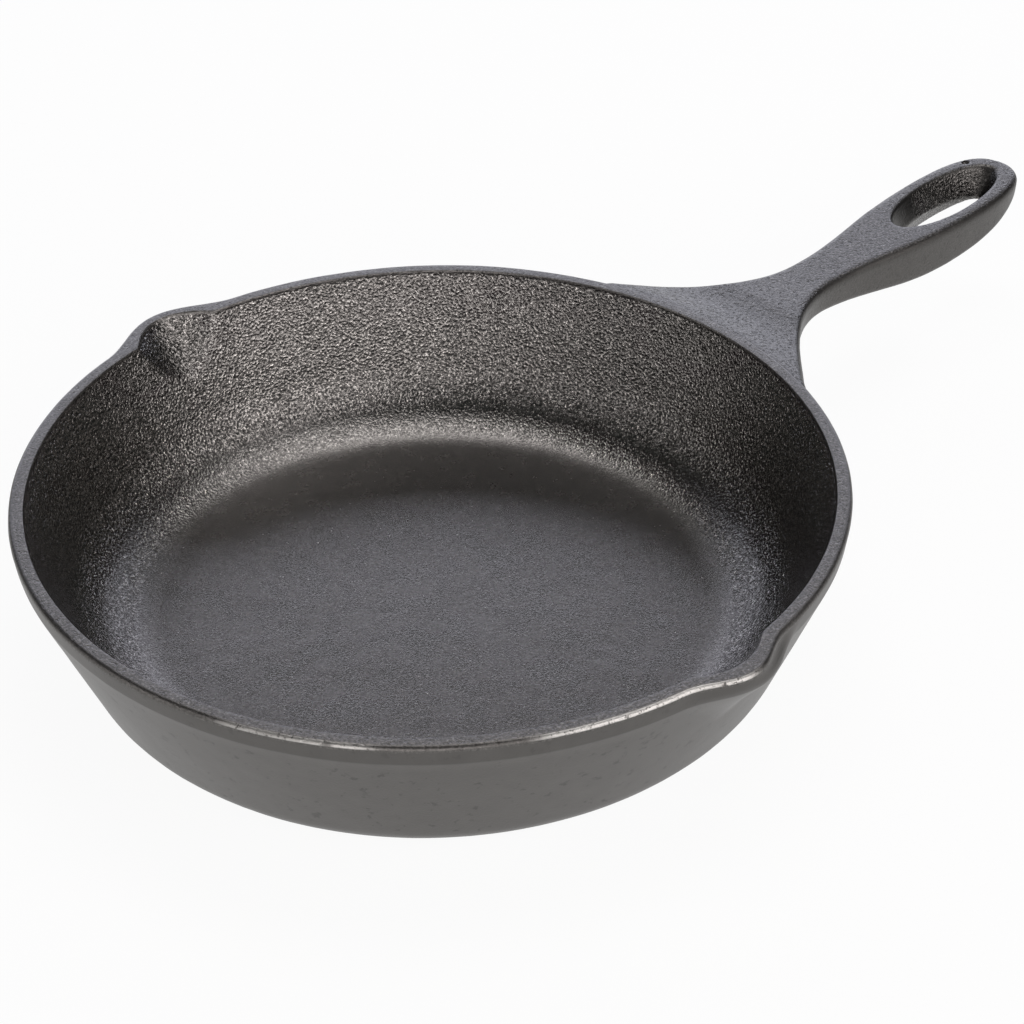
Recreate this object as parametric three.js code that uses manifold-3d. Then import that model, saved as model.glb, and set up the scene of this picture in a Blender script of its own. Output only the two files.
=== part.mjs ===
// A small cast iron skillet with two pour spouts and a handle that ends in a hanging eye.
// The real pan is a single pour of grey iron. Its sections are made here as separate solids
// that meet face to face: floor, side wall, rim band, two spouts, and the handle's root, neck and eye.
// Millimetres and degrees. +Z is up and the table is z = 0.
// The bowl is centred on Z and the handle points along +X.

import * as THREE from "three";
import { mergeVertices } from "three/addons/utils/BufferGeometryUtils.js";
import Module from "manifold-3d";

const wasm = await Module();
wasm.setup();

// Bowl
const PAN_HEIGHT = 34.4; // table to rim
const RIM_RADIUS = 83.5; // outside of the rim
const WALL_FLARE = 20.4; // lean of the wall from the vertical
const WALL_THICKNESS = 3.2; // square to the wall
const FLOOR_THICKNESS = 3.2;
const FLOOR_MARGIN = 1.5; // level strip between the floor section and the rounded corners
const HEEL_RADIUS = 8; // outside corner between base and wall
const COVE_RADIUS = 18.5; // inside corner between floor and wall

// Rim band, the thickened lip around the top of the wall
const RIM_BAND_HEIGHT = 4.8;
const RIM_BAND_DRAFT = 0.4; // lean of its outside face
const RIM_BAND_CHAMFER = 1.8; // height of the slope below that face
const RIM_EDGE_RADIUS = 0.6;

// Pour spouts, one on each side of the handle's line
const SPOUT_REACH = 4.9; // how far the lip is drawn out
const SPOUT_DEPTH = 17; // how far down the wall the trough runs
const SPOUT_WIDTH = 36; // along the outside of the rim
const SPOUT_FOOT_WIDTH = 14; // where the trough runs out on the wall
const SPOUT_MARGIN = 4; // wall kept on each side of the trough

// Handle, measured along +X from the outside of the rim
const HANDLE_LENGTH = 105; // rim to tip
const HANDLE_DROP = 3.4; // rim down to the handle's top face
const HANDLE_DIP = 0.9; // how much lower the top face runs at the neck
const ROOT_HALF_WIDTH = 33; // where the flare meets the rim
const ROOT_LENGTH = 21; // rim to the end of the root section
const ROOT_THICKNESS = 6.5;
const ROOT_FILLET = 7; // run of the rounded corners against the rim and the wall
const NECK_WIDTH = 11;
const NECK_DISTANCE = 35; // rim to the narrowest place
const GRIP_THICKNESS = 10.6;
const TIP_THICKNESS = 3; // height left at the rounded tip

// Hanging eye, which narrows from both faces to a waist
const EYE_LENGTH = 37.5; // at the top face
const EYE_WIDTH = 14.4;
const EYE_WAIST_LENGTH = 28;
const EYE_WAIST_WIDTH = 8.6;
const EYE_WAIST_DEPTH = 6; // top face down to the waist
const EYE_FOOT_LENGTH = 35; // at the underside
const EYE_FOOT_WIDTH = 12.2;
const EYE_SIDE_WALL = 2.5; // iron left on each side of the eye
const EYE_TIP_WALL = 3.2; // iron left beyond the eye
const EYE_NECK_WALL = 6; // iron between the eye and the start of the eye section

// Pull of the handle's curves on their ends, as shares of each curve's run
const FLARE_RIM_PULL = 0.3;
const FLARE_NECK_PULL = 0.42;
const GRIP_NECK_PULL = 0.37;
const GRIP_EYE_PULL = 0.5;
const TIP_SIDE_PULL = 0.67;
const TIP_END_PULL = 0.7;

const SEAT_GAP = 0.3; // clearance where a section is cut to its neighbour's round face
const CUT_MARGIN = 20; // overshoot of cutting solids
const TURN_SEGMENTS = 120;
const EYE_SEGMENTS = 40;
const ARC_STEPS = 6;
const EDGE_STEPS = 3;
const WALL_STEPS = 5; // levels of points up each face of the wall
const CURVE_STEPS = 12;
const MERGE_DISTANCE = 1e-4;

const flare = THREE.MathUtils.degToRad(WALL_FLARE);
const bandFoot = PAN_HEIGHT - RIM_BAND_HEIGHT;
const spoutFoot = PAN_HEIGHT - SPOUT_DEPTH;

// Radius of the wall's outer and inner faces at a height.
const outerRadius = (z) => RIM_RADIUS - (PAN_HEIGHT - z) * Math.tan(flare);
const innerRadius = (z) => outerRadius(z) - WALL_THICKNESS / Math.cos(flare);

// A corner between a level face and the wall is rounded by an arc that touches both.
const cornerReach = (radius) => radius * Math.tan((Math.PI / 2 - flare) / 2);
const coveStart = innerRadius(FLOOR_THICKNESS) - cornerReach(COVE_RADIUS);
const heelStart = outerRadius(0) - cornerReach(HEEL_RADIUS);
const floorRadius = Math.min(coveStart, heelStart) - FLOOR_MARGIN;

function cornerArc(startRadius, level, radius) {
  const points = [];
  for (let i = 0; i <= ARC_STEPS; i++) {
    const angle = -Math.PI / 2 + ((Math.PI / 2 - flare) * i) / ARC_STEPS;
    const r = startRadius + radius * Math.cos(angle);
    points.push(new THREE.Vector2(r, level + radius + radius * Math.sin(angle)));
  }
  return points;
}

// Points up a wall face, from the end of its corner arc to the foot of the rim band.
function wallPoints(radiusAt, arcEnd) {
  const points = [];
  for (let i = 1; i <= WALL_STEPS; i++) {
    const z = THREE.MathUtils.lerp(arcEnd.y, bandFoot, i / WALL_STEPS);
    points.push(new THREE.Vector2(radiusAt(z), z));
  }
  return points;
}

// How far a spout pushes a point of the wall outwards. Inside, it is narrower by the wall's thickness.
function spoutPush(x, y, z, inside) {
  const rise = THREE.MathUtils.smoothstep(z, spoutFoot, PAN_HEIGHT);
  const width = THREE.MathUtils.lerp(SPOUT_FOOT_WIDTH, SPOUT_WIDTH, rise);
  const half = width / 2 - (inside ? (WALL_THICKNESS * width) / SPOUT_WIDTH : 0);
  const off = Math.atan2(Math.abs(x), Math.abs(y)) * RIM_RADIUS;
  return off < half ? SPOUT_REACH * rise * Math.cos((Math.PI / 2) * (off / half)) ** 2 : 0;
}

function toSolid(geometry) {
  const bare = geometry.clone();
  bare.deleteAttribute("normal");
  bare.deleteAttribute("uv");
  const merged = mergeVertices(bare, MERGE_DISTANCE);
  return new wasm.Manifold(
    new wasm.Mesh({
      numProp: 3,
      vertProperties: merged.getAttribute("position").array,
      triVerts: new Uint32Array(merged.index.array),
    }),
  );
}

function toGeometry(solid) {
  const made = solid.getMesh();
  return new THREE.BufferGeometry()
    .setAttribute("position", new THREE.BufferAttribute(new Float32Array(made.vertProperties), 3))
    .setIndex(new THREE.BufferAttribute(made.triVerts, 1));
}

// Turns a closed profile about Z. The outer points run upwards and the inner points back down.
function revolve(outer, inner) {
  const profile = [...outer, ...inner, outer[0]];
  const geometry = new THREE.LatheGeometry(profile, TURN_SEGMENTS).rotateX(Math.PI / 2);
  const position = geometry.getAttribute("position");
  for (let i = 0; i < position.count; i++) {
    const step = i % profile.length;
    const inside = step >= outer.length && step < profile.length - 1;
    const [x, y, z] = [position.getX(i), position.getY(i), position.getZ(i)];
    const radius = Math.hypot(x, y);
    const stretch = radius > 0 ? 1 + spoutPush(x, y, z, inside) / radius : 1;
    position.setXYZ(i, x * stretch, y * stretch, z);
  }
  return toSolid(geometry);
}

// A closed outline in the XY plane, carried up from one level to another.
function plate(shape, low, high) {
  const geometry = new THREE.ExtrudeGeometry(shape, {
    depth: high - low,
    bevelEnabled: false,
    curveSegments: CURVE_STEPS,
  });
  return toSolid(geometry.translate(0, 0, low));
}

// Floor
function makeFloor() {
  const outer = [new THREE.Vector2(0, 0), new THREE.Vector2(floorRadius, 0)];
  const inner = [new THREE.Vector2(floorRadius, FLOOR_THICKNESS), new THREE.Vector2(0, FLOOR_THICKNESS)];
  return revolve(outer, inner);
}

// Side wall from the floor's edge to the foot of the rim band, spouts included
function makeWholeWall() {
  const heel = cornerArc(heelStart, 0, HEEL_RADIUS);
  const cove = cornerArc(coveStart, FLOOR_THICKNESS, COVE_RADIUS);
  const outer = [...heel, ...wallPoints(outerRadius, heel.at(-1))];
  const inner = [...cove, ...wallPoints(innerRadius, cove.at(-1))];
  outer.unshift(new THREE.Vector2(floorRadius, 0));
  inner.unshift(new THREE.Vector2(floorRadius, FLOOR_THICKNESS));
  return revolve(outer, inner.reverse());
}

// Rim band
function bandPoints() {
  const foot = new THREE.Vector2(outerRadius(bandFoot), bandFoot);
  return [foot, new THREE.Vector2(RIM_RADIUS - RIM_BAND_DRAFT, bandFoot + RIM_BAND_CHAMFER)];
}

function roundEdge(from, corner, to) {
  return new THREE.QuadraticBezierCurve(from, corner, to).getPoints(EDGE_STEPS);
}

function makeRimBand() {
  const edge = RIM_EDGE_RADIUS;
  const rimInner = innerRadius(PAN_HEIGHT);
  const outerEdge = roundEdge(
    new THREE.Vector2(RIM_RADIUS, PAN_HEIGHT - edge),
    new THREE.Vector2(RIM_RADIUS, PAN_HEIGHT),
    new THREE.Vector2(RIM_RADIUS - edge, PAN_HEIGHT),
  );
  const innerEdge = roundEdge(
    new THREE.Vector2(rimInner + edge, PAN_HEIGHT),
    new THREE.Vector2(rimInner, PAN_HEIGHT),
    new THREE.Vector2(innerRadius(PAN_HEIGHT - edge), PAN_HEIGHT - edge),
  );
  const foot = new THREE.Vector2(innerRadius(bandFoot), bandFoot);
  return revolve([...bandPoints(), ...outerEdge], [...innerEdge, foot]);
}

// The block of wall that holds one spout: side is 1 for +Y and -1 for -Y.
function spoutBlock(side) {
  const half = (SPOUT_WIDTH / 2 + SPOUT_MARGIN) / RIM_RADIUS;
  const middle = (side * Math.PI) / 2;
  const reach = (RIM_RADIUS + CUT_MARGIN) / Math.cos(half);
  const wedge = new THREE.Shape([
    new THREE.Vector2(0, 0),
    new THREE.Vector2(reach * Math.cos(middle - half), reach * Math.sin(middle - half)),
    new THREE.Vector2(reach * Math.cos(middle + half), reach * Math.sin(middle + half)),
  ]);
  return plate(wedge, spoutFoot, bandFoot);
}

// Handle
const tip = RIM_RADIUS + HANDLE_LENGTH;
const neck = RIM_RADIUS + NECK_DISTANCE;
const rootEnd = RIM_RADIUS + ROOT_LENGTH;
const rootStart = Math.sqrt(RIM_RADIUS ** 2 - ROOT_HALF_WIDTH ** 2);
const eyeMiddle = tip - EYE_TIP_WALL - EYE_LENGTH / 2;
const eyeStart = eyeMiddle - EYE_LENGTH / 2 - EYE_NECK_WALL;
const neckHalf = NECK_WIDTH / 2;
const gripHalf = EYE_WIDTH / 2 + EYE_SIDE_WALL;
const handleTop = PAN_HEIGHT - HANDLE_DROP;
const rootFoot = handleTop - ROOT_THICKNESS;
const gripFoot = handleTop - GRIP_THICKNESS;

// Plan: a flared root, a narrow neck and a rounded grip, alike on both sides.
function handleOutline() {
  const flareRun = neck - rootStart;
  const flareDrop = ROOT_HALF_WIDTH - neckHalf;
  const gripRun = eyeMiddle - neck;
  const tipRun = tip - eyeMiddle;
  const half = new THREE.Path()
    .moveTo(rootStart, ROOT_HALF_WIDTH)
    .bezierCurveTo(
      rootStart + flareRun * FLARE_RIM_PULL,
      ROOT_HALF_WIDTH - flareDrop * FLARE_NECK_PULL,
      neck - flareRun * FLARE_NECK_PULL,
      neckHalf,
      neck,
      neckHalf,
    )
    .bezierCurveTo(
      neck + gripRun * GRIP_NECK_PULL,
      neckHalf,
      eyeMiddle - gripRun * GRIP_EYE_PULL,
      gripHalf,
      eyeMiddle,
      gripHalf,
    )
    .bezierCurveTo(eyeMiddle + tipRun * TIP_SIDE_PULL, gripHalf, tip, gripHalf * TIP_END_PULL, tip, 0)
    .getPoints(CURVE_STEPS);
  const otherSide = half.slice(0, -1).reverse();
  const inside = [new THREE.Vector2(0, -ROOT_HALF_WIDTH), new THREE.Vector2(0, ROOT_HALF_WIDTH)];
  return new THREE.Shape([...half, ...otherSide.map((p) => new THREE.Vector2(p.x, -p.y)), ...inside]);
}

// Side view as distance from the pan's axis and height: the top face runs up to the rim and dips at the neck,
// and the underside runs down to the wall and thickens from the root to the grip.
function handleProfile() {
  const filletEnd = RIM_RADIUS + ROOT_FILLET;
  const gripRun = eyeMiddle - neck;
  const tipRun = tip - eyeMiddle;
  const wallFoot = rootFoot - ROOT_FILLET / 2;
  const inside = innerRadius(wallFoot);
  return new THREE.Path()
    .moveTo(inside, wallFoot)
    .lineTo(outerRadius(wallFoot), wallFoot)
    .quadraticCurveTo(outerRadius(rootFoot), rootFoot, filletEnd, rootFoot)
    .bezierCurveTo(neck, rootFoot, eyeMiddle - gripRun * GRIP_EYE_PULL, gripFoot, eyeMiddle, gripFoot)
    .quadraticCurveTo(eyeMiddle + tipRun * TIP_SIDE_PULL, gripFoot, tip, handleTop - TIP_THICKNESS)
    .lineTo(tip, handleTop)
    .quadraticCurveTo(neck, handleTop - 2 * HANDLE_DIP, filletEnd, handleTop)
    .quadraticCurveTo(RIM_RADIUS, handleTop, RIM_RADIUS, PAN_HEIGHT - RIM_EDGE_RADIUS)
    .lineTo(inside, PAN_HEIGHT - RIM_EDGE_RADIUS)
    .lineTo(inside, wallFoot)
    .getPoints(CURVE_STEPS);
}

// The eye's plug: oval rings from below the underside to above the top face.
function makeEyePlug() {
  const rings = [
    { length: EYE_FOOT_LENGTH, width: EYE_FOOT_WIDTH, z: gripFoot - CUT_MARGIN },
    { length: EYE_FOOT_LENGTH, width: EYE_FOOT_WIDTH, z: gripFoot },
    { length: EYE_WAIST_LENGTH, width: EYE_WAIST_WIDTH, z: handleTop - EYE_WAIST_DEPTH },
    { length: EYE_LENGTH, width: EYE_WIDTH, z: handleTop },
    { length: EYE_LENGTH, width: EYE_WIDTH, z: handleTop + CUT_MARGIN },
  ];
  const profile = rings.map((ring) => new THREE.Vector2(1, ring.z));
  profile.unshift(new THREE.Vector2(0, rings.at(0).z));
  profile.push(new THREE.Vector2(0, rings.at(-1).z));
  const geometry = new THREE.LatheGeometry(profile, EYE_SEGMENTS).rotateX(Math.PI / 2);
  const position = geometry.getAttribute("position");
  for (let i = 0; i < position.count; i++) {
    const step = THREE.MathUtils.clamp((i % profile.length) - 1, 0, rings.length - 1);
    const ring = rings[step];
    const x = (position.getX(i) * ring.length) / 2;
    const y = (position.getY(i) * ring.width) / 2;
    position.setXYZ(i, eyeMiddle + x, y, ring.z);
  }
  return toSolid(geometry);
}

// The bowl's outside with the seat's clearance, which the handle's root is cut to.
function makeBowlPlug() {
  const heel = cornerArc(heelStart, 0, HEEL_RADIUS);
  const outside = [...heel, ...bandPoints(), new THREE.Vector2(RIM_RADIUS, PAN_HEIGHT)];
  const seat = outside.map((p) => new THREE.Vector2(p.x + SEAT_GAP, p.y));
  const profile = [new THREE.Vector2(0, 0), ...seat, new THREE.Vector2(0, PAN_HEIGHT)];
  return toSolid(new THREE.LatheGeometry(profile, TURN_SEGMENTS).rotateX(Math.PI / 2));
}

function slab(from, to) {
  const size = 2 * (PAN_HEIGHT + ROOT_HALF_WIDTH + CUT_MARGIN);
  const geometry = new THREE.BoxGeometry(to - from, size, size);
  return toSolid(geometry.translate((from + to) / 2, 0, 0));
}

function makeHandle() {
  const sideView = new THREE.LatheGeometry(handleProfile(), TURN_SEGMENTS).rotateX(Math.PI / 2);
  return plate(handleOutline(), 0, PAN_HEIGHT)
    .intersect(toSolid(sideView))
    .subtract(makeEyePlug())
    .subtract(makeBowlPlug());
}

// Assembly
const iron = new THREE.MeshStandardMaterial({ color: 0x3a393b, roughness: 0.55, metalness: 0.35 });
const pan = new THREE.Group();
pan.name = "skillet";

function addSection(name, solid) {
  const mesh = new THREE.Mesh(toGeometry(solid), iron.clone());
  mesh.name = name;
  pan.add(mesh);
}

const wholeWall = makeWholeWall();
const leftBlock = spoutBlock(-1);
const rightBlock = spoutBlock(1);
addSection("pan_floor", makeFloor());
addSection("side_wall", wholeWall.subtract(leftBlock).subtract(rightBlock));
addSection("pour_spout_left", wholeWall.intersect(leftBlock));
addSection("pour_spout_right", wholeWall.intersect(rightBlock));
addSection("rim_band", makeRimBand());

const handle = makeHandle();
addSection("handle_root", handle.intersect(slab(0, rootEnd)));
addSection("handle_neck", handle.intersect(slab(rootEnd, eyeStart)));
addSection("handle_eye", handle.intersect(slab(eyeStart, tip + CUT_MARGIN)));

export default pan;
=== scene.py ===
import itertools
import math

import bpy
import numpy as np
from mathutils import Matrix, Vector


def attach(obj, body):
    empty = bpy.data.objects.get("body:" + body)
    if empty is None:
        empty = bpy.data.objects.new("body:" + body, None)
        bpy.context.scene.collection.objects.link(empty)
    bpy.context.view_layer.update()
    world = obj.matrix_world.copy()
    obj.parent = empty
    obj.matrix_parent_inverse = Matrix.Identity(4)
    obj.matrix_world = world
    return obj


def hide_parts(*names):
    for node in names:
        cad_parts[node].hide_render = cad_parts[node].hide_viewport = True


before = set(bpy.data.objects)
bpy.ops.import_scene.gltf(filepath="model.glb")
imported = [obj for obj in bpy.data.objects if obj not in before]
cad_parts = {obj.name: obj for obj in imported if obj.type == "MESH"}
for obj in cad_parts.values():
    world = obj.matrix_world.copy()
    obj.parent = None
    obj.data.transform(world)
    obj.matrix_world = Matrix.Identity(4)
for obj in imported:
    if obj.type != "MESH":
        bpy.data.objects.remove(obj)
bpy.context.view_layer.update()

mm = 0.001
scene = bpy.context.scene
scene.view_settings.view_transform = "Standard"
print("frame loaded, nodes:", sorted(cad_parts))


# node helpers: a Wire is a node output that takes plain arithmetic
class Wire:
    def __init__(self, tree, socket):
        self.tree = tree
        self.socket = socket

    def __add__(self, other):
        return calc(self.tree, "ADD", self, other)

    def __radd__(self, other):
        return calc(self.tree, "ADD", other, self)

    def __sub__(self, other):
        return calc(self.tree, "SUBTRACT", self, other)

    def __rsub__(self, other):
        return calc(self.tree, "SUBTRACT", other, self)

    def __mul__(self, other):
        return calc(self.tree, "MULTIPLY", self, other)

    def __rmul__(self, other):
        return calc(self.tree, "MULTIPLY", other, self)

    def __truediv__(self, other):
        return calc(self.tree, "DIVIDE", self, other)

    def __rtruediv__(self, other):
        return calc(self.tree, "DIVIDE", other, self)


def plug(tree, value, socket):
    if isinstance(value, Wire):
        tree.links.new(value.socket, socket)
    else:
        socket.default_value = value


def addNode(tree, kind, inputs=None, **settings):
    made = tree.nodes.new(kind)
    for name, value in settings.items():
        setattr(made, name, value)
    for name, value in (inputs or {}).items():
        plug(tree, value, made.inputs[name])
    return made


def wire(tree, kind, inputs=None, output=0, **settings):
    return Wire(tree, addNode(tree, kind, inputs, **settings).outputs[output])


def calc(tree, operation, *terms):
    return wire(tree, "ShaderNodeMath", dict(enumerate(terms)), operation=operation)


def smoothRange(tree, value, low, high):
    limits = {"Value": value, "From Min": low, "From Max": high}
    return wire(tree, "ShaderNodeMapRange", limits, interpolation_type="SMOOTHSTEP")


def blendOf(tree, share, first, second):
    return wire(tree, "ShaderNodeMix", {0: share, 2: first, 3: second})


def splitXyz(tree, vector):
    made = addNode(tree, "ShaderNodeSeparateXYZ", {0: vector})
    return [Wire(tree, made.outputs[place]) for place in range(3)]


def joinXyz(tree, x, y, z):
    return wire(tree, "ShaderNodeCombineXYZ", {0: x, 1: y, 2: z})


def noiseOf(tree, vector, scale, detail=2.0, roughness=0.5):
    inputs = {"Vector": vector, "Scale": scale, "Detail": detail, "Roughness": roughness}
    return wire(tree, "ShaderNodeTexNoise", inputs)


# surface of a sand casting: slow swells and dents, the same field on every piece
skin = {"Swell Size": 14 * mm, "Swell Depth": 0.16 * mm, "Dent Size": 3.2 * mm, "Dent Depth": 0.07 * mm}


def makeSkinTree():
    tree = bpy.data.node_groups.new("castSkin", "GeometryNodeTree")
    tree.interface.new_socket("Geometry", in_out="INPUT", socket_type="NodeSocketGeometry")
    for name in skin:
        tree.interface.new_socket(name, in_out="INPUT", socket_type="NodeSocketFloat")
    tree.interface.new_socket("Geometry", in_out="OUTPUT", socket_type="NodeSocketGeometry")
    source = tree.nodes.new("NodeGroupInput")
    size = {name: Wire(tree, source.outputs[name]) for name in ["Geometry", *skin]}
    place = wire(tree, "GeometryNodeInputPosition")
    normal = wire(tree, "GeometryNodeInputNormal")
    swell = noiseOf(tree, place, 1.0 / size["Swell Size"], 1.0) - 0.5
    dent = noiseOf(tree, place, 1.0 / size["Dent Size"], 1.0) - 0.5
    z = splitXyz(tree, place)[2]
    aboveBase = smoothRange(tree, z, 0.0, 4 * mm)  # the base stays flat
    lift = (swell * size["Swell Depth"] + dent * size["Dent Depth"]) * aboveBase
    offset = wire(tree, "ShaderNodeVectorMath", {0: normal, "Scale": lift}, operation="SCALE")
    moved = wire(tree, "GeometryNodeSetPosition", {"Geometry": size["Geometry"], "Offset": offset})
    sink = tree.nodes.new("NodeGroupOutput")
    plug(tree, moved, sink.inputs[0])
    return tree


def runTree(piece, tree, values):
    modifier = piece.modifiers.new(tree.name, "NODES")
    modifier.node_group = tree
    for item in tree.interface.items_tree:
        if item.in_out == "INPUT" and item.name in values:
            modifier[item.identifier] = values[item.name]


def freeze(piece):
    graph = bpy.context.evaluated_depsgraph_get()
    mesh = bpy.data.meshes.new_from_object(piece.evaluated_get(graph))
    piece.modifiers.clear()
    piece.data = mesh
    mesh.name = piece.name


def addPiece(name, mesh):
    piece = bpy.data.objects.new(name, mesh)
    scene.collection.objects.link(piece)
    return piece


skinTree = makeSkinTree()


# bowl: a turned profile, drawn out at the two spouts
bowl = {
    "Rim Radius": 83.5 * mm,
    "Pan Height": 34.4 * mm,
    "Wall Flare": math.radians(20.4),
    "Wall Thickness": 3.2 * mm,
    "Floor Thickness": 3.2 * mm,
    "Heel Radius": 8 * mm,
    "Cove Radius": 18.5 * mm,
    "Rim Thickness": 2.9 * mm,
    "Band Height": 4.1 * mm,
    "Band Draft": 0.55 * mm,
    "Band Softness": 1.0 * mm,
    "Outer Edge": 1.0 * mm,
    "Inner Edge": 0.15 * mm,
    "Spout Reach": 4.9 * mm,
    "Spout Depth": 17 * mm,
    "Spout Width": 36 * mm,
    "Spout Foot Width": 14 * mm,
    "Left Lip Reach": 3.9 * mm,
    "Left Lip Width": 27 * mm,
    "Left Lip Shift": 2.3 * mm,
    "Left Scoop Reach": 3.1 * mm,
    "Left Scoop Width": 20 * mm,
    "Right Lip Reach": 4.9 * mm,
    "Right Lip Width": 36 * mm,
    "Right Lip Shift": -0.6 * mm,
    "Right Scoop Reach": 5.4 * mm,
    "Right Scoop Width": 22 * mm,
    "Scoop Depth": 11.2 * mm,
    "Scoop Softness": 0.8 * mm,
    "Point Spacing": 0.9 * mm,
}
bowlTurns = 560
bowlMarks = {  # heights where the finish changes inside
    "cove": (9.0 * mm, 6.5 * mm),
    "floor": (4.4 * mm, 3.4 * mm),
}
stageMarks = {  # along the profile: 2 is the band's lower corner, 3 the outer edge, 4 the inner edge
    "underBand": (1.88, 1.98),
    "band": (1.985, 2.0),
    "rim": (2.97, 3.03),
    "inside": (4.005, 4.04),
    "wornGlintFrom": (2.9, 2.98),
    "wornGlintTo": (3.1, 3.02),
}


def pickByIndex(tree, kind, values):
    chooser = addNode(tree, "GeometryNodeIndexSwitch", data_type=kind)
    while len(chooser.index_switch_items) < len(values):
        chooser.index_switch_items.new()
    plug(tree, wire(tree, "GeometryNodeInputIndex"), chooser.inputs[0])
    for place, value in enumerate(values):
        plug(tree, value, chooser.inputs[place + 1])
    return Wire(tree, chooser.outputs[0])


def profileCurve(tree, size):
    lean = calc(tree, "TANGENT", size["Wall Flare"])
    slope = calc(tree, "COSINE", size["Wall Flare"])
    slant = size["Wall Thickness"] / slope
    rimSlant = size["Rim Thickness"] / slope
    rim = size["Rim Radius"]
    height = size["Pan Height"]
    floor = size["Floor Thickness"]
    heel = rim - height * lean
    cove = heel + floor * lean - slant

    # radius, height, rounding and rounding steps, from under the base round to the cooking floor
    corners = [
        (0.0, 0.0, 0.0, 1),
        (heel, 0.0, size["Heel Radius"], 10),
        (rim - size["Band Draft"], height - size["Band Height"], size["Band Softness"], 3),
        (rim, height, size["Outer Edge"], 7),
        (rim - rimSlant, height, size["Inner Edge"], 4),
        (cove, floor, size["Cove Radius"], 20),
        (0.0, floor, 0.0, 1),
    ]
    places = [joinXyz(tree, radius - rim, 0.0 - z, 0.0) for radius, z, _, _ in corners]
    line = wire(tree, "GeometryNodeCurvePrimitiveLine")
    line = wire(tree, "GeometryNodeResampleCurve", {"Curve": line, "Count": len(corners)}, mode="COUNT")
    place = pickByIndex(tree, "VECTOR", places)
    line = wire(tree, "GeometryNodeSetPosition", {"Geometry": line, "Position": place})
    stage = {"Geometry": line, "Name": "stage", "Value": wire(tree, "GeometryNodeInputIndex")}
    line = wire(tree, "GeometryNodeStoreNamedAttribute", stage, data_type="FLOAT", domain="POINT")
    rounding = {
        "Curve": line,
        "Count": pickByIndex(tree, "INT", [steps for _, _, _, steps in corners]),
        "Radius": pickByIndex(tree, "FLOAT", [radius for _, _, radius, _ in corners]),
    }
    line = wire(tree, "GeometryNodeFilletCurve", rounding, mode="POLY")
    here = wire(tree, "GeometryNodeInputPosition")
    after = wire(tree, "GeometryNodeInputIndex") + 1.0
    following = {"Index": after, "Value": here}
    there = wire(tree, "GeometryNodeFieldAtIndex", following, data_type="FLOAT_VECTOR", domain="POINT")
    run = wire(tree, "ShaderNodeVectorMath", {0: here, 1: there}, "Value", operation="DISTANCE")
    mark = wire(tree, "GeometryNodeInputNamedAttribute", {"Name": "stage"}, data_type="FLOAT")
    level = calc(tree, "LESS_THAN", mark, 0.5) + calc(tree, "GREATER_THAN", mark, 4.5)
    cuts = calc(tree, "FLOOR", run / (size["Point Spacing"] * (1.0 + 1.2 * level)))
    return wire(tree, "GeometryNodeSubdivideCurve", {"Curve": line, "Cuts": cuts})


# how far a spout draws the wall outwards: a swell outside, a lip at the rim, a sharper scoop inside
def spoutOffset(tree, size):
    x, y, z = splitXyz(tree, wire(tree, "GeometryNodeInputPosition"))
    stage = wire(tree, "GeometryNodeInputNamedAttribute", {"Name": "stage"}, data_type="FLOAT")
    right = calc(tree, "GREATER_THAN", y, 0.0)

    def sideSize(name):
        return blendOf(tree, right, size["Left " + name], size["Right " + name])

    def bell(distance, width):
        off = calc(tree, "MINIMUM", calc(tree, "ABSOLUTE", distance) * 2.0 / width, 1.0)
        swing = calc(tree, "COSINE", off * (math.pi / 2))
        return swing * swing

    depth = size["Pan Height"] - z
    rise = smoothRange(tree, depth, size["Spout Depth"], 0.0)
    width = blendOf(tree, rise, size["Spout Foot Width"], size["Spout Width"])
    arc = calc(tree, "ARCTAN2", 0.0 - x, calc(tree, "ABSOLUTE", y)) * size["Rim Radius"]
    swell = size["Spout Reach"] * rise * bell(arc, width)
    arc = arc - sideSize("Lip Shift")
    lip = sideSize("Lip Reach") * bell(arc, sideSize("Lip Width"))
    off = arc * 2.0 / sideSize("Scoop Width")
    scoop = sideSize("Scoop Reach") * (1.0 - depth / size["Scoop Depth"] - off * off)
    scoop = calc(tree, "SMOOTH_MAX", scoop, 0.0, size["Scoop Softness"])
    push = blendOf(tree, smoothRange(tree, stage, 2.0, 3.0), swell, lip)
    push = blendOf(tree, smoothRange(tree, stage, 3.0, 4.0), push, scoop)
    flat = joinXyz(tree, x, y, 0.0)
    outward = wire(tree, "ShaderNodeVectorMath", {0: flat}, operation="NORMALIZE")
    return wire(tree, "ShaderNodeVectorMath", {0: outward, "Scale": push}, operation="SCALE")


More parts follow.
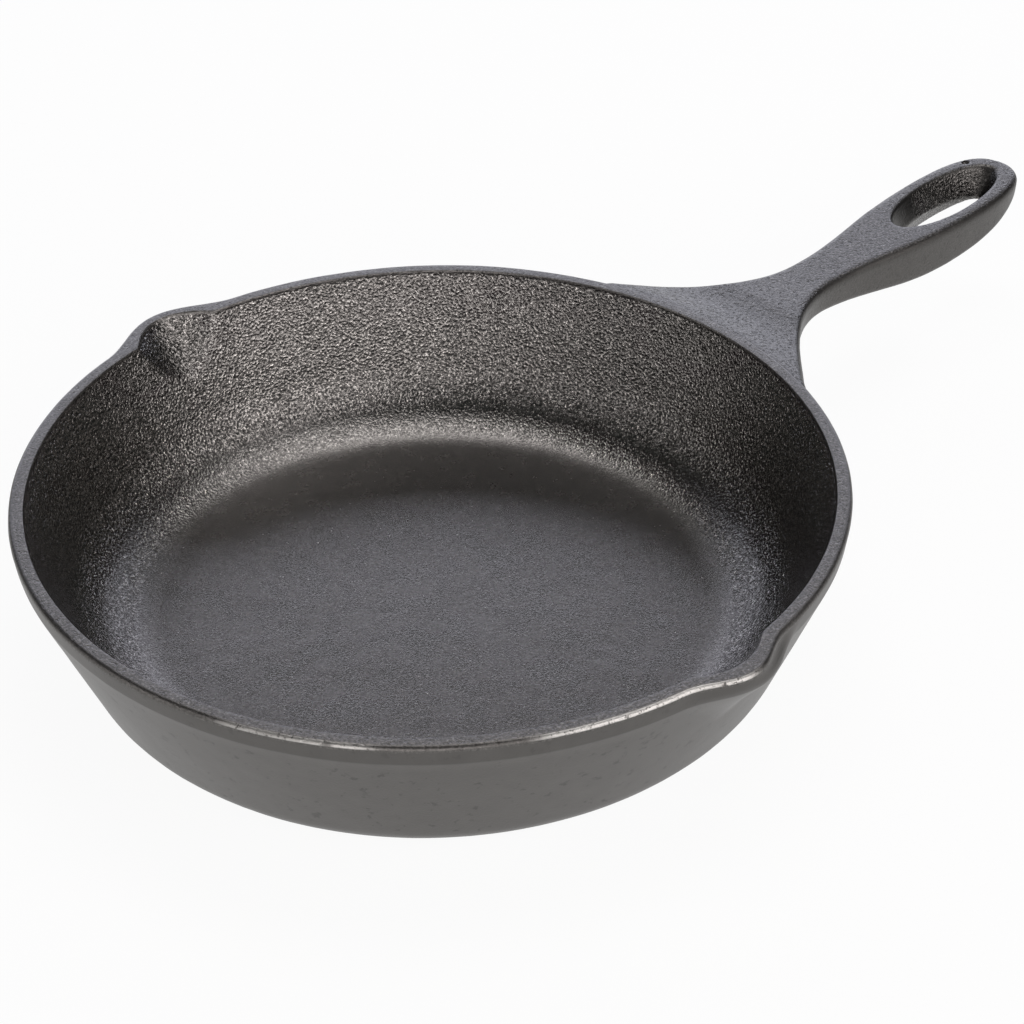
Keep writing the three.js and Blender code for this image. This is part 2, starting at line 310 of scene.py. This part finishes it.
def makeBowlTree(material):
    tree = bpy.data.node_groups.new("bowlCasting", "GeometryNodeTree")
    for name in [*bowl, *skin]:
        tree.interface.new_socket(name, in_out="INPUT", socket_type="NodeSocketFloat")
    tree.interface.new_socket("Geometry", in_out="OUTPUT", socket_type="NodeSocketGeometry")
    source = tree.nodes.new("NodeGroupInput")
    size = {name: Wire(tree, source.outputs[name]) for name in [*bowl, *skin]}
    circle = {"Resolution": bowlTurns, "Radius": size["Rim Radius"]}
    path = wire(tree, "GeometryNodeCurvePrimitiveCircle", circle, mode="RADIUS")
    path = wire(tree, "GeometryNodeSetCurveNormal", {"Curve": path}, mode="Z_UP")
    turned = {"Curve": path, "Profile Curve": profileCurve(tree, size)}
    shape = wire(tree, "GeometryNodeCurveToMesh", turned)
    shape = wire(tree, "GeometryNodeMergeByDistance", {"Geometry": shape, "Distance": 0.001 * mm})
    offset = spoutOffset(tree, size)
    shape = wire(tree, "GeometryNodeSetPosition", {"Geometry": shape, "Offset": offset})
    skinInputs = {name: size[name] for name in skin}
    shape = addSkin(tree, shape, skinInputs)
    shape = wire(tree, "GeometryNodeSetShadeSmooth", {"Geometry": shape})
    shape = wire(tree, "GeometryNodeRealizeInstances", {"Geometry": shape})
    shape = wire(tree, "GeometryNodeSetMaterial", {"Geometry": shape, "Material": material})
    sink = tree.nodes.new("NodeGroupOutput")
    plug(tree, shape, sink.inputs[0])
    return tree


def addSkin(tree, shape, values):
    group = addNode(tree, "GeometryNodeGroup", node_tree=skinTree)
    plug(tree, shape, group.inputs["Geometry"])
    for name, value in values.items():
        plug(tree, value, group.inputs[name])
    return Wire(tree, group.outputs[0])


# handle: a rounded solid from its plan, its side view and its eye, in millimetres until the mesh is made
handle = {
    "tip": 188.5,
    "neck": 118.5,
    "neckHalf": 5.5,
    "leftRoot": (77.4, 31.0),
    "rightRoot": (79.8, 25.6),
    "eyeMiddle": 166.55,
    "gripHalf": 9.7,
    "topDrop": 2.9,
    "topDip": 0.9,
    "rootFoot": 25.1,
    "gripFoot": 19.8,
    "gripLow": 151.0,
    "wallFoot": 21.0,
    "tipThickness": 3.0,
    "slopeEnd": 101.0,
    "rootRun": 7.0,
    "rootTrim": 10.0,
    "topSink": 0.03,
    "growth": 0.75,
    "topFillet": 1.6,
    "footFillet": 4.5,
    "topEdge": 1.8,
    "footEdge": 1.6,
    "sideDraft": 0.07,
    "eyeEdge": 0.5,
    "facetTurn": math.radians(16),
    "facetCut": 1.0,
    "facetEdge": 0.5,
    "notch": (182.5, 6.3, 31.0),
    "notchRadius": 0.9,
    "sink": 0.08,
    "sinkGrowth": 0.03,
    "buried": 1.8,
    "cell": 0.55,
    "gridLow": (72.0, -46.0, 16.0),
    "gridHigh": (190.0, 46.0, 36.5),
}
handleMarks = {  # where the finish changes on the handle, and where painted shade darkens it
    "eyeOval": (19.5, 7.6),
    "eyeEnd": (handle["eyeMiddle"] - 1, handle["eyeMiddle"] - 8),
    "paintedShadeShoulder": (27.6, 31.0),
    "paintedShadeRootTop": (112, 94),
}
eyeRings = [  # depth below the top face, half length, half width, shift along the handle
    (0.0, 18.3, 6.8, 0.0),
    (6.0, 14.3, 4.5, -1.0),
    (11.0, 16.6, 6.6, -1.0),
]
rimRadius = bowl["Rim Radius"] / mm
panHeight = bowl["Pan Height"] / mm
wallFlare = bowl["Wall Flare"]


# seasoned iron: one metal, with a texture for each zone of the casting
iron = {
    "colour": (0.142, 0.136, 0.130),
    "wornGlintColour": (0.50, 0.49, 0.47),
    "metalShare": 0.95,
    "mottleSize": 4 * mm,
    "mottleShare": 0.12,
    "mottleRough": 0.04,
    "pebbleSize": 0.54 * mm,
    "paintedShadeStep": 0.16 * mm,
    "paintedGlintPower": 4.0,
    "paintedGlintMean": 1.15,
    "darkest": 0.12,
    "grainSize": 0.33 * mm,
    "pitSize": 0.8 * mm,
    "pitDepth": 0.2,
    "fleckSize": 2.2 * mm,
    "wornGlintRough": 0.40,
    "wearGlintSize": 7 * mm,
    "chipSize": 0.9 * mm,
}
wornGlintStretches = [(-161, -141), (-121, -91)]  # degrees round the rim
# pebble and grain are heights in millimetres, and rough is the roughness
# the others change the colour, and pits dent the surface too
# two of them paint highlights and shade of the pebbles into the colour
features = ("pebble", "grain", "rough", "tone", "specks", "paintedGlint", "paintedPebbleShade", "pits", "flecks")
zones = {
    "outside": (0.02, 0.02, 0.42, 0.82, 0.05, 0.0, 0.0, 0.0, 0.3),
    "underBand": (0.02, 0.02, 0.42, 0.90, 0.05, 0.0, 0.0, 0.0, 0.1),
    "band": (0.01, 0.02, 0.42, 0.78, 0.04, 0.0, 0.0, 0.0, 0.1),
    "rim": (0.04, 0.05, 0.36, 0.91, 1.0, 0.2, 0.0, 0.3, 0.0),
    "wall": (0.28, 0.06, 0.17, 1.16, 0.3, 0.6, 4.0, 0.0, 0.0),
    "cove": (0.15, 0.06, 0.20, 1.06, 0.6, 0.3, 1.8, 0.0, 0.0),
    "floor": (0.03, 0.04, 0.27, 0.96, 1.3, 0.10, 0.0, 0.06, 0.0),
    "top": (0.06, 0.05, 0.36, 0.80, 1.1, 0.25, 0.0, 0.45, 0.0),
    # painted shade: the top near the bowl is darker, against the lamp's reflection on the slope by the
    # rim
    "paintedShadeRootTop": (0.06, 0.05, 0.36, 0.67, 1.2, 0.25, 0.0, 0.5, 0.0),
    # painted shade: a dark band just below the top edge of the handle's sides
    "paintedShadeShoulder": (0.02, 0.03, 0.42, 0.50, 0.4, 0.0, 0.0, 0.1, 0.0),
    "side": (0.04, 0.04, 0.42, 0.72, 0.8, 0.0, 0.0, 0.15, 0.15),
    # painted shade: the eye's inside wall is darkened, most at its end toward the bowl
    "eye": (0.30, 0.06, 0.20, 0.60, 0.6, 0.5, 2.5, 0.0, 0.0),
    "eyeEnd": (0.06, 0.04, 0.34, 0.44, 0.4, 0.0, 0.3, 0.0, 0.0),
}


def stageOf(tree):
    return wire(tree, "ShaderNodeAttribute", output="Fac", attribute_name="stage")


def upFacing(tree):
    return splitXyz(tree, wire(tree, "ShaderNodeNewGeometry", output="Normal"))[2]


# where the eye's inner wall is, from its oval in plan
def eyeShare(tree, place, facing):
    x, y, _ = splitXyz(tree, place)
    halfLength, halfWidth = handleMarks["eyeOval"]
    along = (x - handle["eyeMiddle"] * mm) / (halfLength * mm)
    across = y / (halfWidth * mm)
    inside = smoothRange(tree, along * along + across * across, 1.1, 0.95)
    return inside * smoothRange(tree, facing, 0.75, 0.45)


def handleShares(tree, place):
    x, _, z = splitXyz(tree, place)
    facing = upFacing(tree)

    def across(value, mark):
        first, last = handleMarks[mark]
        return smoothRange(tree, value, first * mm, last * mm)

    # the eye's inside wall carries painted shade, darkest at its end toward the bowl
    eye = eyeShare(tree, place, facing)
    rootward = across(x, "eyeEnd")
    top = smoothRange(tree, facing, 0.70, 0.93) * (1.0 - eye)
    rest = 1.0 - eye - top
    # painted shade darkens the sides just below the top edge
    high = across(z, "paintedShadeShoulder")
    # painted shade: the top is darkened near the bowl
    atRoot = across(x, "paintedShadeRootTop")
    return {
        "eye": eye * (1.0 - rootward),
        "eyeEnd": eye * rootward,
        "top": top * (1.0 - atRoot),
        "paintedShadeRootTop": top * atRoot,
        "paintedShadeShoulder": rest * high,
        "side": rest * (1.0 - high),
    }


def bowlShares(tree, place):
    z = splitXyz(tree, place)[2]
    stage = stageOf(tree)
    under, band, above, inside = [
        smoothRange(tree, stage, *stageMarks[mark]) for mark in ("underBand", "band", "rim", "inside")
    ]
    level = smoothRange(tree, z, *bowlMarks["cove"])
    flat = smoothRange(tree, z, *bowlMarks["floor"])
    return {
        "underBand": under * (1.0 - band),
        "band": band * (1.0 - above),
        "rim": above * (1.0 - inside),
        "wall": inside * (1.0 - level),
        "cove": inside * level * (1.0 - flat),
        "floor": inside * flat,
    }


def zoneValue(tree, shares, feature):
    column = features.index(feature)
    base = zones["outside"][column]
    total = base
    for name, share in shares.items():
        total = share * (zones[name][column] - base) + total
    return total


# seasoning rubbed off in patches along the rim's outer edge, lightened also as a painted highlight on
# the near side where the edge faces the lamps
def rimWearAndGlint(tree, place):
    stage = stageOf(tree)
    facing = upFacing(tree)
    edge = smoothRange(tree, stage, *stageMarks["wornGlintFrom"])
    edge = edge * smoothRange(tree, stage, *stageMarks["wornGlintTo"])
    edge = edge * smoothRange(tree, facing, 0.2, 0.4) * smoothRange(tree, facing, 0.99, 0.92)
    x, y, _ = splitXyz(tree, place)
    angle = calc(tree, "ARCTAN2", y, x) * (180 / math.pi)
    reach = 0.0
    for first, last in wornGlintStretches:
        started = smoothRange(tree, angle, first - 2, first + 3)
        reach = started * smoothRange(tree, angle, last + 2, last - 3) + reach
    patch = smoothRange(tree, noiseOf(tree, place, 1 / iron["wearGlintSize"], 1.0), 0.24, 0.36)
    chips = smoothRange(tree, noiseOf(tree, place, 1 / iron["chipSize"], 2.0, 0.6), 0.30, 0.46)
    return edge * reach * patch * chips


def makeIron(name, onBowl):
    material = bpy.data.materials.new(name)
    material.use_nodes = True
    tree = material.node_tree
    shader = tree.nodes["Principled BSDF"]
    place = wire(tree, "ShaderNodeTexCoord", output="Object")
    shares = bowlShares(tree, place) if onBowl else handleShares(tree, place)
    pebble = noiseOf(tree, place, 1 / iron["pebbleSize"], 2.0, 0.5)
    grain = noiseOf(tree, place, 1 / iron["grainSize"], 1.0, 0.5)
    mottle = noiseOf(tree, place, 1 / iron["mottleSize"], 3.0, 0.6)
    pits = smoothRange(tree, noiseOf(tree, place, 1 / iron["pitSize"], 2.0, 0.55), 0.53, 0.68)
    pits = pits * zoneValue(tree, shares, "pits")
    flecks = smoothRange(tree, noiseOf(tree, place, 1 / iron["fleckSize"], 3.0, 0.6), 0.60, 0.70)
    # painted highlight: bright glints from the pebble noise are added into the colour
    paintedGlint = calc(tree, "POWER", pebble * 2.0, iron["paintedGlintPower"]) - iron["paintedGlintMean"]
    # painted light and shade: the pebbles are coloured as if lit from above
    above = wire(tree, "ShaderNodeVectorMath", {0: place, 1: (0, 0, iron["paintedShadeStep"])}, operation="ADD")
    paintedPebbleShade = pebble - noiseOf(tree, above, 1 / iron["pebbleSize"], 2.0, 0.5)
    relief = pebble * zoneValue(tree, shares, "pebble") + grain * zoneValue(tree, shares, "grain")
    relief = relief - pits * iron["pitDepth"]
    bump = addNode(tree, "ShaderNodeBump", {"Height": relief, "Distance": mm})
    tree.links.new(bump.outputs[0], shader.inputs["Normal"])
    tone = 1.0 + (mottle - 0.5) * (2 * iron["mottleShare"])
    tone = tone + (grain - 0.5) * zoneValue(tree, shares, "specks")
    tone = tone + paintedGlint * zoneValue(tree, shares, "paintedGlint") + paintedPebbleShade * zoneValue(tree, shares, "paintedPebbleShade")
    tone = calc(tree, "MAXIMUM", tone, iron["darkest"])
    tone = tone * (1.0 - pits) * zoneValue(tree, shares, "tone")
    tone = tone * (1.0 - flecks * zoneValue(tree, shares, "flecks"))
    tint = wire(tree, "ShaderNodeVectorMath", {0: iron["colour"], "Scale": tone}, operation="SCALE")
    rough = zoneValue(tree, shares, "rough") + (mottle - 0.5) * iron["mottleRough"]
    if onBowl:
        # worn bare metal on the near rim edge, lightened further as a painted highlight
        wornGlint = rimWearAndGlint(tree, place)
        bareAndGlint = {0: wornGlint, 6: tint, 7: (*iron["wornGlintColour"], 1)}
        tint = wire(tree, "ShaderNodeMix", bareAndGlint, 2, data_type="RGBA")
        rough = blendOf(tree, wornGlint, rough, iron["wornGlintRough"])
    tree.links.new(tint.socket, shader.inputs["Base Color"])
    tree.links.new(rough.socket, shader.inputs["Roughness"])
    shader.inputs["Metallic"].default_value = iron["metalShare"]
    return material


bowlIron = makeIron("seasoned_iron_bowl", True)
handleIron = makeIron("seasoned_iron_handle", False)
bowlPiece = addPiece("skillet_bowl", bpy.data.meshes.new("skillet_bowl"))
runTree(bowlPiece, makeBowlTree(bowlIron), {**bowl, **skin})
freeze(bowlPiece)
print("bowl:", len(bowlPiece.data.polygons), "faces")


def bezier(points, count=40):
    share = np.linspace(0, 1, count)[:, None]
    rest = 1 - share
    degree = len(points) - 1
    return sum(
        math.comb(degree, k) * rest ** (degree - k) * share**k * np.array(point, float)
        for k, point in enumerate(points)
    )


def halfOutline(root):
    tip, neck, middle = handle["tip"], handle["neck"], handle["eyeMiddle"]
    start, wide = root
    thin, grip = handle["neckHalf"], handle["gripHalf"]
    run, drop = neck - start, wide - thin
    flare = [(start, wide), (start + 0.3 * run, wide - 0.42 * drop),
             (neck - 0.42 * run, thin), (neck, thin)]
    run = middle - neck
    swell = [(neck, thin), (neck + 0.37 * run, thin), (middle - 0.5 * run, grip), (middle, grip)]
    run = tip - middle
    end = [(middle, grip), (middle + 0.67 * run, grip), (tip, 0.7 * grip), (tip, 0)]
    return np.vstack([[(0, wide)], bezier(flare)[:-1], bezier(swell)[:-1], bezier(end)])


def handleOutline():
    right = halfOutline(handle["rightRoot"])
    left = halfOutline(handle["leftRoot"]) * (1, -1)
    return np.vstack([right, left[-2::-1]])


def outlineDistance(x, y, outline):
    best = np.full(x.shape, np.inf)
    crossings = np.zeros(x.shape, int)
    for (x0, y0), (x1, y1) in zip(outline, np.roll(outline, -1, axis=0)):
        dx, dy = x1 - x0, y1 - y0
        share = np.clip(((x - x0) * dx + (y - y0) * dy) / (dx * dx + dy * dy), 0, 1)
        best = np.minimum(best, np.hypot(x - x0 - share * dx, y - y0 - share * dy))
        spans = (y0 > y) != (y1 > y)
        at = x0 + (y - y0) * dx / (dy if dy else 1)
        crossings += spans & (x < at)
    return np.where(crossings % 2, -best, best)


def joinRound(a, b, radius):
    corner = np.hypot(np.maximum(radius - a, 0), np.maximum(radius - b, 0))
    return np.maximum(radius, np.minimum(a, b)) - corner


def meetRound(a, b, radius):
    corner = np.hypot(np.maximum(radius + a, 0), np.maximum(radius + b, 0))
    return np.minimum(-radius, np.maximum(a, b)) + corner


def sideView():
    tip, neck, lowest = handle["tip"], handle["neck"], handle["gripLow"]
    top = panHeight - handle["topDrop"]
    rimTop = panHeight - handle["topSink"]
    rootEnd = rimRadius + handle["rootRun"]
    beyond = tip + 30  # both lines run on past the tip
    slope = [(rimRadius - 1.5, rimTop), (rimRadius + 2.5, rimTop),
             (rimRadius + 5.0, top), (handle["slopeEnd"], top)]
    back = [(handle["slopeEnd"], top), (neck, top - 2 * handle["topDip"]), (tip, top)]
    upper = np.vstack([[(0, rimTop)], bezier(slope), bezier(back)[1:], [(beyond, top + 2)]])
    wall = rimRadius - (panHeight - handle["wallFoot"]) * math.tan(wallFlare)
    root = [(wall, handle["wallFoot"]), (wall + 2, handle["rootFoot"]), (rootEnd, handle["rootFoot"])]
    run = lowest - neck
    grip = [(rootEnd, handle["rootFoot"]), (neck, handle["rootFoot"]),
            (lowest - 0.5 * run, handle["gripFoot"]), (lowest, handle["gripFoot"])]
    end = [(lowest, handle["gripFoot"]), (lowest + 0.7 * (tip - lowest), handle["gripFoot"]),
           (tip, top - handle["tipThickness"])]
    lower = np.vstack([[(0, handle["wallFoot"])], bezier(root), bezier(grip)[1:], bezier(end)[1:],
                       [(beyond, top + 30)]])
    return upper, lower


handleEdge = handleOutline()
facet = np.array([math.cos(handle["facetTurn"]), math.sin(handle["facetTurn"])])
facetReach = (handleEdge @ facet).max() + handle["growth"] - handle["facetCut"]
upperLine, lowerLine = sideView()
wallHeights = [0, panHeight - bowl["Band Height"] / mm, panHeight]
wallRadii = [rimRadius - panHeight * math.tan(wallFlare), rimRadius - bowl["Band Draft"] / mm, rimRadius]


def heightAt(line, r):
    z = np.interp(r, line[:, 0], line[:, 1])
    step = 0.2
    rise = np.interp(r + step, line[:, 0], line[:, 1]) - np.interp(r - step, line[:, 0], line[:, 1])
    return z, np.sqrt(1 + (rise / (2 * step)) ** 2)


def eyeDistance(x, y, z, top):
    depth = top - z
    depths, lengths, widths, shifts = np.array(eyeRings).T
    a = np.interp(depth, depths, lengths)
    b = np.interp(depth, depths, widths)
    u, v = (x - handle["eyeMiddle"] - np.interp(depth, depths, shifts)) / a, y / b
    near = np.hypot(u, v)
    return near * (near - 1) / np.maximum(np.hypot(u / a, v / b), 1e-6)


def handleField(x, y, z, plan):
    r = np.hypot(x, y)
    top, topSlope = heightAt(upperLine, r)
    foot, footSlope = heightAt(lowerLine, r)
    wall = np.interp(z, wallHeights, wallRadii)
    sunk = handle["sink"] + handle["sinkGrowth"] * np.maximum(plan, 0) ** 1.5
    outer = (r - wall + sunk) * math.cos(wallFlare)
    edge = plan - handle["growth"] + handle["sideDraft"] * (top - z)
    fillet = np.interp(z, [handle["rootFoot"], panHeight], [handle["footFillet"], handle["topFillet"]])
    sides = joinRound(edge, outer, fillet)
    solid = meetRound(sides, (z - top) / topSlope, handle["topEdge"])
    solid = meetRound(solid, (foot - z) / footSlope, handle["footEdge"])
    solid = meetRound(solid, x * facet[0] + y * facet[1] - facetReach, handle["facetEdge"])
    solid = meetRound(solid, -eyeDistance(x, y, z, top), handle["eyeEdge"])
    notchX, notchY, notchZ = handle["notch"]
    away = np.sqrt((x - notchX) ** 2 + (y - notchY) ** 2 + (z - notchZ) ** 2)
    solid = np.maximum(solid, handle["notchRadius"] - away)
    buried = (wall - handle["buried"] - r) * math.cos(wallFlare)
    return np.maximum(np.maximum(solid, buried), plan - handle["rootTrim"])


def surfaceNet(values, origin, cell):
    inside = values < 0
    shape = np.array(values.shape) - 1
    total = np.zeros((*shape, 3))
    count = np.zeros(shape)
    for axis in range(3):
        for pair in itertools.product((0, 1), repeat=2):
            start = np.insert(np.array(pair), axis, 0)
            stop = np.insert(np.array(pair), axis, 1)
            first = values[tuple(slice(s, s + n) for s, n in zip(start, shape))]
            last = values[tuple(slice(s, s + n) for s, n in zip(stop, shape))]
            crossed = (first < 0) != (last < 0)
            share = first[crossed] / (first[crossed] - last[crossed])
            point = np.tile(start.astype(float), (len(share), 1))
            point[:, axis] = share
            total[crossed] += point
            count[crossed] += 1
    active = count > 0
    number = np.full(shape, -1)
    number[active] = np.arange(active.sum())
    points = origin + cell * (np.argwhere(active) + total[active] / count[active][:, None])
    quads = []
    for axis in range(3):
        order = (axis, (axis + 1) % 3, (axis + 2) % 3)
        solid = inside.transpose(order)
        net = number.transpose(order)
        lower, upper = solid[:-1, 1:-1, 1:-1], solid[1:, 1:-1, 1:-1]
        ring = np.stack([net[:, :-1, :-1], net[:, 1:, :-1], net[:, 1:, 1:], net[:, :-1, 1:]], -1)
        quads.append(ring[lower & ~upper])
        quads.append(ring[upper & ~lower][:, ::-1])
    return points, np.vstack(quads)


def settle(points, rounds=3, step=0.03):
    for _ in range(rounds):
        def fieldAt(shift):
            x, y, z = (points + shift).T
            return handleField(x, y, z, outlineDistance(x, y, handleEdge))

        value = fieldAt(np.zeros(3))
        slope = np.stack([fieldAt(s) - fieldAt(-s) for s in np.eye(3) * step], -1) / (2 * step)
        move = (value / np.maximum((slope**2).sum(1), 0.1))[:, None] * slope
        points = points - np.clip(move, -0.3, 0.3)
    return points


def makeHandle():
    cell = handle["cell"]
    axes = [np.arange(low, high, cell) for low, high in zip(handle["gridLow"], handle["gridHigh"])]
    x, y = np.meshgrid(axes[0], axes[1], indexing="ij")
    plan = outlineDistance(x, y, handleEdge)
    values = handleField(x[:, :, None], y[:, :, None], axes[2][None, None, :], plan[:, :, None])
    points, quads = surfaceNet(values, np.array(handle["gridLow"]), cell)
    points = settle(points)
    mesh = bpy.data.meshes.new("skillet_handle")
    mesh.from_pydata((points * mm).tolist(), [], quads.tolist())
    mesh.update()
    mesh.shade_smooth()
    mesh.materials.append(handleIron)
    return addPiece("skillet_handle", mesh)


handlePiece = makeHandle()
runTree(handlePiece, skinTree, skin)
freeze(handlePiece)
print("handle:", len(handlePiece.data.polygons), "faces")


# camera at the photograph's place
camera = {"place": (-307.8, -333.3, 347.9), "aim": (36.48, 14.09, 0.0), "roll": -0.835, "lens": 97.56}


def addCamera():
    eye = Vector(camera["place"]) * mm
    back = (eye - Vector(camera["aim"]) * mm).normalized()
    roll = Matrix.Rotation(math.radians(camera["roll"]), 3, "Z").to_quaternion()
    turn = back.to_track_quat("Z", "Y") @ roll
    data = bpy.data.cameras.new("camera")
    data.lens = camera["lens"]
    data.sensor_width = 36
    data.clip_start = 0.01
    data.clip_end = 50
    made = bpy.data.objects.new("camera", data)
    made.matrix_world = Matrix.Translation(eye) @ turn.to_matrix().to_4x4()
    scene.collection.objects.link(made)
    scene.camera = made


addCamera()

# table: pale, white where nothing shades it
table = {"size": 60.0, "colour": (0.9, 0.9, 0.9, 1), "roughness": 0.8, "whiteShare": 0.93}


def addTable():
    half = table["size"] / 2
    mesh = bpy.data.meshes.new("table")
    corners = [(-half, -half, 0), (half, -half, 0), (half, half, 0), (-half, half, 0)]
    mesh.from_pydata(corners, [], [(0, 1, 2, 3)])
    material = bpy.data.materials.new("pale_table")
    material.use_nodes = True
    tree = material.node_tree
    matt = tree.nodes["Principled BSDF"]
    matt.inputs["Base Color"].default_value = table["colour"]
    matt.inputs["Roughness"].default_value = table["roughness"]
    rays = tree.nodes.new("ShaderNodeLightPath")
    kinds = ("Is Camera Ray", "Is Glossy Ray", "Is Transmission Ray")
    seen = sum(Wire(tree, rays.outputs[kind]) for kind in kinds)
    seen = calc(tree, "MINIMUM", seen, 1.0)
    glow = addNode(tree, "ShaderNodeEmission")
    mixed = addNode(tree, "ShaderNodeMixShader", {0: seen * table["whiteShare"]})
    tree.links.new(matt.outputs[0], mixed.inputs[1])
    tree.links.new(glow.outputs[0], mixed.inputs[2])
    tree.links.new(mixed.outputs[0], tree.nodes["Material Output"].inputs["Surface"])
    mesh.materials.append(material)
    addPiece("table", mesh)


addTable()

# studio: soft lamps above and behind the pan, fills at the right, front and left, and a dim plain world
lamps = {  # place, size, power, colour
    "top": ((0.31, 0.145, 0.94), (0.8, 0.44), 3.3, (1.0, 0.975, 0.975)),
    "back": ((0.80, 0.84, 0.41), (1.9, 0.77), 9.6, (0.84, 0.865, 1.0)),
    "right": ((0.20, -1.02, 0.58), (1.0, 1.0), 7.9, (1.0, 0.96, 0.955)),
    "front": ((-0.87, -0.75, 0.46), (0.9, 0.75), 5.3, (1.0, 0.96, 0.955)),
    "left": ((-1.05, 0.45, 0.45), (0.7, 0.7), 2.4, (1.0, 0.97, 0.97)),
}
lampAim = (0.03, 0, 0.02)
worldLevel = 0.06


def addLamps():
    aim = Vector(lampAim)
    for name, (place, size, power, colour) in lamps.items():
        data = bpy.data.lights.new(name, "AREA")
        data.shape = "RECTANGLE"
        data.size, data.size_y = size
        data.energy = power
        data.color = colour
        made = bpy.data.objects.new(name, data)
        made.location = place
        made.rotation_mode = "QUATERNION"
        made.rotation_quaternion = (Vector(place) - aim).to_track_quat("Z", "Y")
        scene.collection.objects.link(made)
    world = bpy.data.worlds.new("studio")
    world.use_nodes = True
    sky = world.node_tree.nodes["Background"]
    sky.inputs["Color"].default_value = (1, 1, 1, 1)
    sky.inputs["Strength"].default_value = worldLevel
    scene.world = world


addLamps()

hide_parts("pan_floor", "side_wall", "pour_spout_left", "pour_spout_right", "rim_band")
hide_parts("handle_root", "handle_neck", "handle_eye")
for piece in (bowlPiece, handlePiece):
    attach(piece, "root")
print("pieces ride on root")
